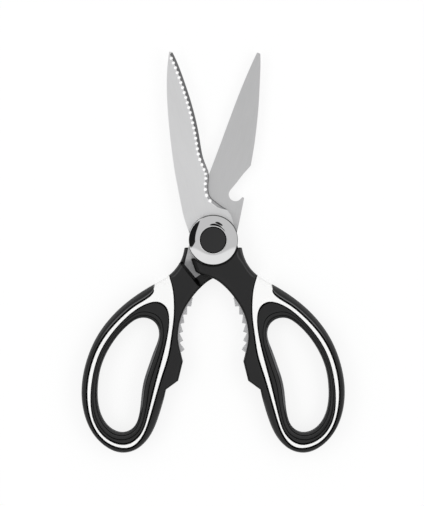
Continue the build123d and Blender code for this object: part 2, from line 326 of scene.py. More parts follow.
class Shader:
    # one node tree, with a single way to add a node: its type, its settings, then its sockets,
    # by place or by name

    def __init__(self, tree):
        self.tree = tree
        tree.nodes.clear()

    def add(self, kind, *places, settings=None, **sockets):
        node = self.tree.nodes.new("ShaderNode" + kind)
        for key, value in (settings or {}).items():
            setattr(node, key, value)
        for place, value in zip(node.inputs, places):
            fill(self.tree, place, value)
        for key, value in sockets.items():
            place = next(s for s in node.inputs if s.name.replace(" ", "") == key and s.enabled)
            fill(self.tree, place, value)
        return node

    def out(self, node, name=0):
        return Value(self.tree, node.outputs[name])

    def attribute(self, name):
        return self.out(self.add("Attribute", settings={"attribute_name": name}), "Fac")

    def mixed(self, factor, first, second):
        # colours, plain or linked: a mix node has its colour sockets and result after those for numbers
        made = self.add("Mix", factor, settings={"data_type": "RGBA"})
        for place, colour in zip(made.inputs[6:8], (first, second)):
            fill(self.tree, place, colour if isinstance(colour, Value) else (*colour, 1))
        return self.out(made, 2)

    def pattern(self, turn=0.0, stretch=(1, 1, 1)):
        # object coordinates in metres, turned about z and then stretched
        place = self.out(self.add("TexCoord"), "Object")
        turned = self.out(self.add("Mapping", Vector=place, Rotation=(0, 0, math.radians(turn))))
        return self.out(self.add("VectorMath", turned, stretch, settings={"operation": "MULTIPLY"}))

    def noise(self, vector, scale, detail=2.0, roughness=0.5):
        cloud = self.add("TexNoise", Vector=vector, Scale=scale, Detail=detail, Roughness=roughness)
        return self.out(cloud)

    def parts(self, vector):
        split = self.add("SeparateXYZ", vector)
        return [self.out(split, name) for name in "XYZ"]

    def radius(self, vector):
        # distance from the pivot axis
        x, y, _ = self.parts(vector)
        return (x * x + y * y).root()

    def surface(self, grain, relief, **sockets):
        strength, depth = relief
        bump = self.add("Bump", Height=grain, Strength=strength, Distance=depth)
        shader = self.add("BsdfPrincipled", Normal=self.out(bump), **sockets)
        self.add("OutputMaterial", Surface=self.out(shader))


def newMaterial(name):
    material = bpy.data.materials.new(name)
    material.use_nodes = True
    return material, Shader(material.node_tree)


fade = 0.0001  # metres over which a painted shadow line begins


def brushedSteel(name, finish):
    # long fine grain along the blade, soft clouds of tone, and by attribute a painted reflection, dark, on
    # the bevel, a painted highlight, white, in the dents, and a painted shadow along the edge by the heel
    material, make = newMaterial(name)
    place = make.pattern(finish["turn"], (1, finish["grainStretch"], 1))
    grain = make.noise(place, finish["grainScale"], detail=3.0, roughness=0.6)
    clouds = make.noise(make.pattern(finish["turn"], (1, finish["cloudStretch"], 1)), finish["cloudScale"])
    tone = (grain - 0.5) * finish["grainTone"] + (clouds - 0.5) * finish["cloudTone"] + 0.5
    base = make.mixed(tone.clamped(), finish["dark"], finish["light"])
    roughness = finish["roughness"] + (grain - 0.5) * finish["roughnessTone"]
    metallic = finish["metallic"]
    if finish["ground"]:
        ground, dent, heel, rim = (make.attribute(key) for key in ("ground", "dent", "heelward", "rim"))
        # painted reflection: the bevel is painted dark, lighter towards the heel and in clouds
        bevel = make.mixed(heel.clamped(), finish["bevelTone"], finish["bevelHeelTone"])
        bevel = make.mixed(tone.clamped() * finish["bevelClouds"], bevel, finish["bevelHeelTone"])
        base = make.mixed(ground.clamped(), base, bevel)
        # painted highlight: the dents are painted white and not metallic, as the glint of their polished
        # hollows
        base = make.mixed(dent.clamped(), base, finish["dentTone"])
        # painted shadow: a thin dark line along the edge towards the heel, where this blade lies over the
        # other
        base = make.mixed(rim.clamped(), base, finish["bevelTone"])
        metallic = (1 - dent.clamped()) * metallic
    if finish["shadeTo"]:
        whole = make.pattern()
        _, y, _ = make.parts(whole)
        # painted shade on the steel down between the necks
        pocketShade = ((finish["pocketFrom"] - y) / finish["pocketOver"]).clamped()
        base = make.mixed(pocketShade, base, finish["pocketTone"])
        far = finish["shadeTo"] + (y < 0.0) * finish["shadeMore"]
        base = make.mixed(((far - make.radius(whole)) / fade).clamped(), base, finish["shadeTone"])
    make.surface(grain, finish["relief"], BaseColor=base, Roughness=roughness, Metallic=metallic)
    return material


def softBlack(name, finish):
    # fine spark-eroded grain of moulded soft plastic, slightly uneven in tone; the attribute read here
    # paints shade above 0, black and partly metallic in slots, gaps and lines, and paints a highlight below
    # 0, lighter on crests
    material, make = newMaterial(name)
    place = make.pattern()
    grain = make.noise(place, finish["grainScale"], roughness=0.6)
    clouds = make.noise(place, finish["cloudScale"])
    seam = make.attribute("seam")
    tone = clouds * finish["cloudShare"] + grain * (1 - finish["cloudShare"])
    base = make.mixed(tone.clamped(), finish["dark"], finish["light"])
    # painted shade: black and partly metallic where the attribute is above 0
    base = make.mixed(seam.clamped(), base, finish["seamTone"])
    # painted highlight on crests, where the attribute is below 0
    base = make.mixed((seam * -1.0).clamped(), base, finish["crestTone"])
    paintedShadeMask = seam.clamped()
    # painted shade: the button is painted black and partly metallic past this radius, as the shade of its
    # gap
    if finish["rimFrom"]:
        paintedShadeMask = ((make.radius(place) - finish["rimFrom"]) / fade).clamped()
        base = make.mixed(paintedShadeMask, base, finish["seamTone"])
    make.surface(
        grain, finish["relief"], BaseColor=base, Metallic=paintedShadeMask * finish["seamMetallic"],
        Roughness=finish["roughness"] + (clouds - 0.5) * finish["roughnessTone"],
        SpecularIORLevel=finish["specular"],
    )
    return material


def hardWhite(name, finish):
    # smooth moulded plastic with faint clouds
    material, make = newMaterial(name)
    place = make.pattern()
    clouds = make.noise(place, finish["cloudScale"])
    grain = make.noise(place, finish["grainScale"])
    base = make.mixed(clouds.clamped(), finish["dark"], finish["light"])
    roughness = finish["roughness"] + (clouds - 0.5) * finish["roughnessTone"]
    make.surface(grain, finish["relief"], BaseColor=base, Roughness=roughness)
    return material


def chromed(name, finish):
    # polished plating with a breath of haze, and the shadow line of the joint under the rim
    material, make = newMaterial(name)
    place = make.pattern()
    haze = make.noise(place, finish["hazeScale"], detail=3.0)
    base = make.mixed(haze.clamped(), finish["dark"], finish["light"])
    x, y, _ = make.parts(place)
    radius = make.radius(place)
    turn = math.radians(finish["jointTurn"])
    facing = (x * math.cos(turn) + y * math.sin(turn)) / radius
    joint = ((facing - math.cos(math.radians(finish["jointHalf"]))) * finish["jointFade"]).clamped()
    joint = joint * ((radius - finish["jointFrom"]) / fade).clamped()
    base = make.mixed(joint, base, finish["jointTone"])
    roughness = finish["roughness"] + (haze - 0.5) * finish["roughnessTone"]
    make.surface(haze, finish["relief"], BaseColor=base, Roughness=roughness, Metallic=1.0)
    return material


# Finishes: relief is the strength and the depth of the bump, radii and places are in metres

frontSteel = {
    "turn": -shears["restHalfAngle"], "grainStretch": 0.03, "grainScale": 2600.0, "grainTone": 0.7,
    "cloudStretch": 0.4, "cloudScale": 90.0, "cloudTone": 0.5, "relief": (0.25, 0.00002),
    "dark": (0.75, 0.75, 0.755), "light": (0.85, 0.85, 0.855), "roughness": 0.34, "roughnessTone": 0.12,
    # painted reflection: the bevel is painted dark, lighter towards the heel; the same dark is the painted
    # shadow along the edge by the heel
    "metallic": 0.6, "ground": True, "bevelTone": (0.05, 0.05, 0.051), "bevelHeelTone": (0.30, 0.30, 0.305),
    # painted highlight: the dents are painted white
    "bevelClouds": 0.5, "dentTone": (1.0, 1.0, 1.0),
    # shadow on the blade beside the cover, deeper in the slit towards the neck
    "shadeTo": 0.0131, "shadeMore": 0.0006, "shadeTone": (0.02, 0.02, 0.02),
    # painted shade on the steel down between the necks
    "pocketFrom": -0.0095, "pocketOver": 0.002, "pocketTone": (0.38, 0.38, 0.385),
}
rearSteel = {
    **frontSteel, "turn": shears["restHalfAngle"], "ground": False, "shadeMore": 0.0,
    "dark": (0.58, 0.58, 0.585), "light": (0.68, 0.68, 0.685),
}
jawSteel = {
    **rearSteel, "shadeTo": None, "grainStretch": 0.5, "grainTone": 2.2,
    "dark": (0.40, 0.40, 0.405), "light": (0.76, 0.76, 0.77),
}
turnedSteel = {
    **jawSteel, "turn": 0.0, "grainStretch": 1.0, "grainTone": 0.7,
    "dark": (0.60, 0.60, 0.61), "light": (0.72, 0.72, 0.73),
}
grip = {
    "grainScale": 2600.0, "cloudScale": 60.0, "cloudShare": 0.7, "relief": (0.3, 0.00003),
    "dark": (0.008, 0.008, 0.0083), "light": (0.014, 0.014, 0.0145), "roughness": 0.42,
    # painted shade: near black and partly metallic in slots, gaps and lines
    "roughnessTone": 0.1, "specular": 0.36, "seamTone": (0.001, 0.001, 0.001), "seamMetallic": 0.8,
    # painted highlight on crests
    "crestTone": (0.105, 0.105, 0.107), "rimFrom": None,
}
button = {
    **grip, "dark": (0.014, 0.014, 0.0145), "light": (0.019, 0.019, 0.0195), "roughness": 0.5,
    # painted shade: the button's edge is painted black from this radius, as the shade of its gap
    "rimFrom": 0.0064,  # radius of the dark line round the button
}
plastic = {
    "dark": (0.86, 0.86, 0.855), "light": (0.905, 0.905, 0.90), "cloudScale": 45.0, "grainScale": 1500.0,
    "relief": (0.08, 0.00002), "roughness": 0.32, "roughnessTone": 0.08,
}
chrome = {
    "dark": (0.86, 0.86, 0.865), "light": (0.90, 0.90, 0.905), "hazeScale": 220.0,
    "relief": (0.03, 0.00002), "roughness": 0.03, "roughnessTone": 0.02,
    # shadow line in the joint under the rim, over the blades: radius, middle and half width in degrees
    "jointTone": (0.10, 0.10, 0.10), "jointFrom": 0.01245, "jointTurn": 45.0, "jointHalf": 78.0,
    "jointFade": 6.0,
}

materials = {
    "frontSteel": brushedSteel("frontSteel", frontSteel),
    "rearSteel": brushedSteel("rearSteel", rearSteel),
    "jawSteel": brushedSteel("jawSteel", jawSteel),
    "turnedSteel": brushedSteel("turnedSteel", turnedSteel),
    "softBlack": softBlack("softBlack", grip),
    "buttonBlack": softBlack("buttonBlack", button),
    "hardWhite": hardWhite("hardWhite", plastic),
    "coverChrome": chromed("coverChrome", chrome),
}
print("materials ready")


# Outlines of a handle, closed half, millimetres

handle = {
    "side": smoothLine([
        (13.45, -7.4), (13.4, -11), (14.9, -18), (18.2, -23.6), (24.3, -29.6), (30.5, -35.8), (37.2, -44),
        (42.6, -53), (46.4, -62.5), (48.5, -73.3), (48.7, -84), (46.9, -94.5), (42.8, -104.2),
        (36.4, -112.2), (28.7, -117), (21, -118.4), (14.3, -116), (8.6, -109), (5.7, -97), (5.1, -86),
    ]),
    "hollow": smoothLine([
        (0.15, -65), (2.5, -60.5), (5.4, -54), (6.6, -46.5), (5.9, -38.5), (3.3, -31), (-0.5, -24),
        (-4.6, -19.4), (-10.9, -15.4), (-12.7, -14.1),
    ]),
    "whiteBorder": smoothLine([
        (19.4, -20.8), (16.9, -24.8), (14.5, -29.2), (12.2, -35.5), (10.4, -43), (9.2, -53), (8.4, -63),
        (9, -74), (9.6, -87), (10.1, -99), (11.65, -108), (15.55, -113.8), (22, -115.65),
        (29.9, -113.8), (36.3, -108.8), (41.2, -100.9), (44.6, -90), (45.5, -79), (44.2, -68.2),
        (41.2, -59.3), (36.2, -50.1), (30.3, -42.2), (24.9, -36.5), (23.4, -33.6), (23.9, -30.5),
        (25, -27.6),
    ]),
    "ringBorder": smoothLine([
        (19.5, -37.8), (15.2, -39.5), (12.6, -44), (11.1, -52), (10.7, -64), (11, -80), (11, -97),
        (12.8, -107.8), (18, -113.3), (24, -114.2), (30.8, -112), (37.6, -105.5), (41.8, -95.3),
        (43.7, -82), (42.9, -70.1), (40.1, -61), (35.1, -51.2), (28.1, -42.3), (24, -39.2),
    ], closed=True),
    "fingerHole": smoothLine([
        (23.5, -47.5), (18.4, -49.2), (15.6, -54), (15.9, -62), (16.9, -71.5), (17.4, -80), (16.6, -88.5),
        (15.6, -97.5), (17, -104.4), (21, -107.8), (26.5, -108), (32.2, -104.8), (37, -98),
        (39.9, -88.5), (40.8, -79), (39.4, -69), (36.1, -59.9), (31.5, -52.3), (27.8, -48.7),
    ], closed=True),
    "lugCorners": [(0.15, -65), (0.15, -75), (5.2, -81), (5.1, -86)],
    "lugRadius": 1.0,
    "stepLine": [(14.25, -15.8), (1.1, -25.7)],
    "coverGap": 13.45,  # radius round the pivot that the neck keeps clear
    "neckCorner": (-13.5, -6.7),
    "whiteStart": (17.65, -22.8),  # where the white border leaves the side of the handle
    "whiteEnd": (24.15, -29.45),  # and where it comes back to it
}


def pointsFor(pair, spacing):
    longest = max(lineLength(line) for line in pair)
    return max(2, int(round(longest / spacing)) + 1)


def matched(pairs, spacing):
    # pairs of runs, one on each edge, walked with as many steps as the longer needs
    firsts, seconds = [], []
    for first, second in pairs:
        count = pointsFor((first, second), spacing)
        firsts.append(evenly(first, count))
        seconds.append(evenly(second, count))
    return joined(firsts), joined(seconds)


# Black outer grip: neck, stop lug and the band outside the stripe

# runs of (distance, drop, painted shade above 0 and painted highlight below 0): a slot beside the stripe,
# painted black as shade, with a crisp ridge over it, the neck's chamfer with painted highlights and a
# painted shade line, the rounded edge along the hollow, painted dark as shade, and the rounded edge round
# the outside
outerGrip = {
    "half": shears["blackHalf"], "middleSteps": 5,
    "slot": [
        (0, 1.3, 1), (0.8, 1.3, 1), (0.88, 0.5, 1), (1.0, 0.22, 0), (1.15, 0.12, 0), (1.3, 0.05, 0),
        (1.45, 0.02, 0), (1.6, 0, 0),
    ],
    "neckEdge": [
        (0, 1.5, -0.2), (0.12, 1.2, -0.35), (0.5, 0.9, -0.25), (1.1, 0.55, 0.3), (1.75, 0.2, 0.2),
        (1.9, 0.05, -0.25), (2.3, 0, -0.25), (2.5, 0, 0),
    ],
    "hollowEdge": [
        (0, 1.6, 0.8), (0.1, 1.1, 0.8), (0.3, 0.7, 0.8), (0.55, 0.45, 0.6), (0.8, 0.32, 0.3),
        (1.0, 0.3, 0.4), (1.15, 0.06, 0), (1.4, 0, 0),
    ],
    "outerEdge": roundRun(3.4, 3.2),
    "stepFoot": (1.3, 1.6),  # how far the step's wall reaches towards the pivot, at its two ends
    # share of that reach that is drawn back near the hollow, where the other neck passes
    "footBack": 0.8, "footBackFrom": 0.84, "footBackTo": 0.96,
    "towardsPivot": (-0.6, 0.8),  # direction across the step
    "stepDraft": 0.25, "stepBrink": 0.06, "neckClear": 0.04, "spacing": 0.8, "neckRows": 16,
    "neckFade": 3, "bandFade": 5, "arcSteps": 48,
    # places on its two sides that lie across from each other; the stop lug joins hollow and side
    "borderStops": [
        handle["whiteStart"], (12.2, -35.5), (9.2, -53), (8.4, -63), (9, -74), (9.2, -78.5), (9.45, -83.5),
        (9.6, -87), (11.8, -108), (22, -116), (41.4, -101), (45.9, -79), (36.5, -49.8), (23.5, -32.4),
    ],
    "hollowStops": [handle["stepLine"][1], (3.3, -31), (5.9, -38.5), (5.4, -54), (0.15, -65)],
    "sideStops": [
        (5.1, -86), (8.6, -109), (21, -118.4), (43.9, -102), (48.75, -79), (39.7, -48), handle["whiteEnd"],
    ],
    # painted highlight: a lighter crest beside the slot, a share at each point of that run, and where it
    # fades out
    "ridge": (0, 0, 0, 0.5, 0.8, 1, 0.7, 0.4), "ridgeFrom": -66, "ridgeFade": 10,
}


def outerGripMesh(side):
    g, h = outerGrip, handle
    lug = h["lugCorners"]
    bend = roundedCorner(lug[1], lug[2], lug[3], h["lugRadius"])
    stepRight, stepLeft = h["stepLine"]
    borders = [cut(h["side"], stepRight, h["whiteStart"])] + cuts(h["whiteBorder"], g["borderStops"])
    lugRuns = [np.array([lug[0], lug[1]]), np.array([lug[1], bend[0]]), bend, np.array([bend[-1], lug[3]])]
    sides = cuts(h["hollow"], g["hollowStops"]) + lugRuns + cuts(h["side"], g["sideStops"])
    pairs = list(zip(borders, sides))
    inner, outer = matched(pairs, g["spacing"])
    along = np.arange(len(inner))
    free = np.clip((pointsFor(pairs[0], g["spacing"]) + 1 - along) / g["neckFade"], 0, 1)
    onBand = np.clip((along - nearestTo(outer, lug[3])) / g["bandFade"] + 0.5, 0, 1)
    innerRun = mixedRuns(g["slot"], g["neckEdge"], free)
    # painted highlight on the crest beside the slot, on the upper part of the band
    ridgeHighlightShare = np.clip((inner[:, 1] - g["ridgeFrom"]) / g["ridgeFade"], 0, 1)
    ridgeHighlightShare = ridgeHighlightShare * (inner[:, 0] > h["whiteStart"][0])
    innerRun[:, :, 2] -= ridgeHighlightShare[:, None] * np.array(g["ridge"])
    section = {**g, "inner": innerRun, "outer": mixedRuns(g["hollowEdge"], g["outerEdge"], onBand)}
    band, bandShadeAndHighlight = bandPoints(inner, outer, section)

    # the neck, patched between the arc round the cover and the step to the full thickness
    columns = band.shape[1] // 2
    towardsPivot = np.array(g["towardsPivot"])
    lastLine = band[0, :columns, :2] + towardsPivot * g["stepDraft"]
    corner = np.array(h["neckCorner"])
    reachX = math.sqrt(h["coverGap"] ** 2 - corner[1] ** 2)
    ends = (math.degrees(math.atan2(corner[1], x)) for x in (reachX, -reachX))
    coverArc = arc((0, 0), h["coverGap"], *ends, g["arcSteps"])
    start = evenly(cut(h["side"], h["side"][0], stepRight), g["neckRows"])
    hollowUp = np.vstack([corner, cut(h["hollow"], h["hollow"][-1], stepLeft)])
    end = evenly(hollowUp, g["neckRows"])
    start[-1], end[-1] = lastLine[0], lastLine[-1]
    share = np.linalg.norm(lastLine - lastLine[0], axis=1) / np.linalg.norm(lastLine[-1] - lastLine[0])
    first = alongLine(np.vstack([start[0], coverArc, corner]), share)
    u = np.linspace(0, 1, g["neckRows"])[:, None, None]
    v = share[None, :, None]
    flat = (1 - v) * start[:, None] + v * end[:, None] + (1 - u) * first[None] + u * lastLine[None]
    flat = flat - (1 - u) * ((1 - v) * start[0] + v * end[0]) - u * ((1 - v) * start[-1] + v * end[-1])
    z = np.broadcast_to(band[0, :columns, 2], flat.shape[:2])
    neckTop = np.concatenate([flat, z[:, :, None]], 2)
    foot = g["stepFoot"][0] + (g["stepFoot"][1] - g["stepFoot"][0]) * v
    back = np.clip((v - g["footBackFrom"]) / (g["footBackTo"] - g["footBackFrom"]), 0, 1)
    foot = foot * (1 - g["footBack"] * back)
    ahead = flat + foot * u ** 3 * towardsPivot
    neckLow = np.concatenate([ahead, np.full_like(z, shears["bladeLow"] + g["neckClear"])[:, :, None]], 2)
    neck = np.concatenate([neckTop, neckLow[:, ::-1]], 1)
    brink = band[:1].copy()
    brink[0, columns:, :2] += g["stepBrink"] * towardsPivot
    points = np.concatenate([neck, brink, band], 0)
    low = np.arange(band.shape[1])[None] >= columns
    # painted shade: the neck's wall round the cover, its underside and the step's wall are painted black
    neckShadeAndHighlight = np.repeat(bandShadeAndHighlight[:1], len(neck), 0)
    neckShadeAndHighlight[-1:] = np.where(low, 1, neckShadeAndHighlight[-1:])
    neckShadeAndHighlight[0] = 1
    seam = np.concatenate([neckShadeAndHighlight, np.where(low, 1, bandShadeAndHighlight[:1]), bandShadeAndHighlight])
    rows, sections = points.shape[:2]
    faces = gridFaces(rows, sections, False, True) + endLadder(0, sections) + endLadder(rows - 1, sections)
    return meshFrom(f"{side}OuterGrip", points.reshape(-1, 3), faces, side, {"seam": seam.ravel()})


# White core: the shoulder and the stripe

whiteCore = {
    "half": shears["whiteHalf"], "middleSteps": 5, "spacing": 0.8,
    "outerEdge": roundRun(3.0, 3.0), "stripeEdge": roundRun(0.25, 0.3),
    # places on the outer border and on the ring that lie across from each other
    "borderStops": [
        handle["whiteStart"], (14.5, -29.2), (10.4, -43), (9.6, -87), (11.8, -108), (22, -116), (36.5, -109),
        (45.9, -79), (36.5, -49.8), (25, -36.3), handle["whiteEnd"],
    ],
    "ringStops": [
        (17.2, -38.3), (12.6, -44), (11.1, -87), (13, -107.8), (22.5, -114.6), (35, -109.5), (44.1, -79),
        (35.3, -51), (24, -38.8), (22.2, -38.1),
    ],
}


def whiteCoreMesh(side):
    w, h = whiteCore, handle
    borders = cuts(h["whiteBorder"], w["borderStops"]) + [cut(h["side"], h["whiteEnd"], h["whiteStart"])]
    outer, inner = matched(zip(borders, cutsRound(h["ringBorder"], w["ringStops"])), w["spacing"])
    outer, inner = outer[:-1], inner[:-1]
    onShoulder = np.arange(len(outer)) >= nearestTo(outer, h["whiteEnd"])
    outerRun = mixedRuns(w["stripeEdge"], w["outerEdge"], onShoulder)
    section = {**w, "inner": w["stripeEdge"], "outer": outerRun}
    points, _ = bandPoints(inner, outer, section)
    faces = gridFaces(points.shape[0], points.shape[1], True, True)
    return meshFrom(f"{side}HandleCore", points.reshape(-1, 3), faces, side)


# Black ring round the finger hole

# runs of (distance, drop, painted shade above 0 and painted highlight below 0): from the hole a rounded lip,
# a fine line painted black as shade, a sloping band, a second such line, and the slot beside the stripe,
# painted black as shade
ringGrip = {
    "half": shears["blackHalf"], "middleSteps": 4, "spacing": 0.8, "slot": outerGrip["slot"],
    "lip": [
        (0, 3.6, 0), (0.08, 2.6, 0), (0.25, 1.95, 0), (0.8, 1.5, 0), (1.2, 1.2, 0), (1.34, 1.2, 0.6),
        (1.42, 1.4, 1), (1.6, 1.4, 1), (1.68, 0.95, 0), (2.1, 0.66, 0), (2.8, 0.36, 0), (3.3, 0.22, 0),
        (3.38, 0.4, 1), (3.66, 0.4, 1), (3.74, 0.05, 0), (3.95, 0, 0),
    ],
    # painted highlight: the lip is painted lighter on the limb beside the jaw: a share at each point of
    # that run, then the limb's reach in x and its two ends in y
    "bright": (0, 0.6, 1, 1, 1, 0.6) + (0,) * 10, "limb": (17, -50, -96), "limbFade": 5,
    # places on the outer border and on the hole that lie across from each other
    "borderStops": [
        (12.6, -44), (10.7, -64), (11.1, -97), (24, -114.5), (42.6, -95.5), (43.4, -70), (28.4, -42),
    ],
    "holeStops": [
        (15.9, -52.5), (16.1, -64), (15.7, -96), (24, -108.3), (38.6, -94), (39.8, -70), (28.5, -48.8),
    ],
}


def ringGripMesh(side):
    r = ringGrip
    borders = cutsRound(handle["ringBorder"], r["borderStops"])
    holes = cutsRound(handle["fingerHole"], r["holeStops"])
    outer, inner = matched(zip(borders, holes), r["spacing"])
    outer, inner = outer[:-1], inner[:-1]
    across, high, low = r["limb"]
    # painted highlight on the lip along the limb beside the jaw
    lipHighlightShare = np.clip(np.minimum(high - inner[:, 1], inner[:, 1] - low) / r["limbFade"], 0, 1)
    lipHighlightShare = lipHighlightShare * np.clip(across + 1 - inner[:, 0], 0, 1)
    lip = np.repeat(np.array([r["lip"]], float), len(inner), 0)
    lip[:, :, 2] -= lipHighlightShare[:, None] * np.array(r["bright"])
    points, seam = bandPoints(inner, outer, {**r, "inner": lip, "outer": r["slot"]})
    faces = gridFaces(points.shape[0], points.shape[1], True, True)
    return meshFrom(f"{side}RingGrip", points.reshape(-1, 3), faces, side, {"seam": seam.ravel()})


# Toothed steel jaw let into the hollow side of each handle

jaw = {
    "centre": (-24.7, -45.0), "radius": 31.3, "depth": 2.8, "rootStand": 0.7, "toothHeight": 1.65,
    "half": 3.0, "teeth": 6, "startAngle": 25.5, "endAngle": -29.5, "lipShare": 0.12, "tipShare": 0.84,
    "edgeBreak": 0.15, "backSteps": 24,
}


def jawMesh(side):
    j = jaw
    root, back = j["radius"] - j["rootStand"], j["radius"] + j["depth"]
    step = (j["endAngle"] - j["startAngle"]) / j["teeth"]
    number = np.arange(j["teeth"])[:, None]
    angles = j["startAngle"] + step * (number + np.array([[0, j["lipShare"], j["tipShare"]]]))
    radii = np.broadcast_to([[root, root, root - j["toothHeight"]]], angles.shape)
    backAngles = np.linspace(j["endAngle"], j["startAngle"], j["backSteps"])
    angles = np.concatenate([angles.ravel(), [j["endAngle"]], backAngles])
    radii = np.concatenate([radii.ravel(), [root], np.full(j["backSteps"], back)])
    turn = np.radians(angles)
    loop = np.array(j["centre"]) + radii[:, None] * np.stack([np.cos(turn), np.sin(turn)], 1)
    under = j["half"] - j["edgeBreak"]
    levels = [(j["edgeBreak"], -j["half"]), (0, -under), (0, under), (j["edgeBreak"], j["half"])]
    loops = [
        np.column_stack([insetLoop(loop, inset), np.full(len(loop), z)]) for inset, z in levels
    ]
    return plateMesh(f"{side}Jaw", loops, side)


# Blades

blade = {
    "edge": smoothLine([
        (2.85, 99.5), (3.6, 96), (4.9, 86.5), (5.8, 76), (6.2, 65.5), (5.9, 55), (5.3, 47.5), (5.2, 42),
        (5.9, 36.6), (6, 33.8), (4.9, 30), (3.8, 26), (3.9, 22.4), (6.1, 18.9), (8.4, 16.1),
        (10.6, 13.8),
    ]),
    "heel": smoothLine([(10.6, 13.8), (12, 10.05), (12.2, 6.5)]),
    "spine": smoothLine([
        (-11, 2), (-11.3, 8), (-11.8, 14), (-11.6, 24), (-10.9, 37.5), (-9.4, 52.5), (-7.3, 67.5),
        (-4.5, 82), (-0.75, 95), (1.2, 100.1),
    ]),
    "tip": [(1.2, 100.1), (1.9, 100), (2.85, 99.5)],
    "plainEdge": smoothLine([
        (1.2, 100), (1.8, 97), (3.1, 90), (5.6, 73), (7.6, 55.5), (9.4, 40), (10.6, 30), (11.7, 18),
        (12.2, 6.5),
    ]),
    "plainSpine": smoothLine([(-11, 2), (-11, 10), (-10.7, 18), (-10.4, 25.2)]),
    "opener": smoothLine([
        (-9.3, 25.3), (-8.2, 23.4), (-5.9, 22.3), (-3.4, 23.1), (-2.1, 25.4), (-2.9, 28.3), (-4.8, 32.2),
        (-6.7, 36.5), (-9, 40.9), (-9.7, 42.3),
    ]),
    "plainBack": smoothLine([
        (-9.7, 42.3), (-9.1, 51), (-7.9, 62), (-6.1, 74), (-3.7, 86.5), (-1.2, 97.8), (-0.65, 99.8),
    ]),
    "plainTip": [(-0.65, 99.8), (0.3, 100), (1.2, 100)],
    "tang": [
        (11.5, -6.9), (11.5, -16), (12.2, -23), (12, -31), (11.3, -38), (9.9, -38), (8.3, -32),
        (6.6, -26.2), (4.1, -21.1), (-0.6, -15.7), (-7.6, -11.2), (-11, -7),
    ],
    "bevelWidth": 1.9, "edgeLand": 0.7, "edgeBreak": 0.12, "bevelSteps": 9, "edgeStep": 0.18,
    "dentPitch": 2.745, "dentFirst": 2.55, "dentCount": 29, "dentInset": (2.0, 1.55), "dentRadius": 0.84,
    # the last of these are the reach and fades of the masks for the painted highlight in the dents, the
    # painted reflection on the bevel and the painted shadow along the edge by the heel
    "dentDepth": 0.42, "dentFade": 6, "groundOver": 0.15, "groundFade": 6, "rimWidth": 0.35, "rimFade": 8,
    # the bevel narrows to a share of its width over these lengths at the tip and at the heel
    "tipTaper": 0.5, "heelTaper": 4.5, "taperShare": 0.15,
    # shares of the edge's length, from the tip, where the stretch nearer the heel begins
    "heelwardFrom": 0.62, "heelwardOver": 0.16,
    # points along each stretch
    "heelSteps": 14, "spineSteps": 90, "tipSteps": 6, "plainEdgeSteps": 70, "plainSpineSteps": 12,
    "openerSteps": 40, "plainBackSteps": 50,
}


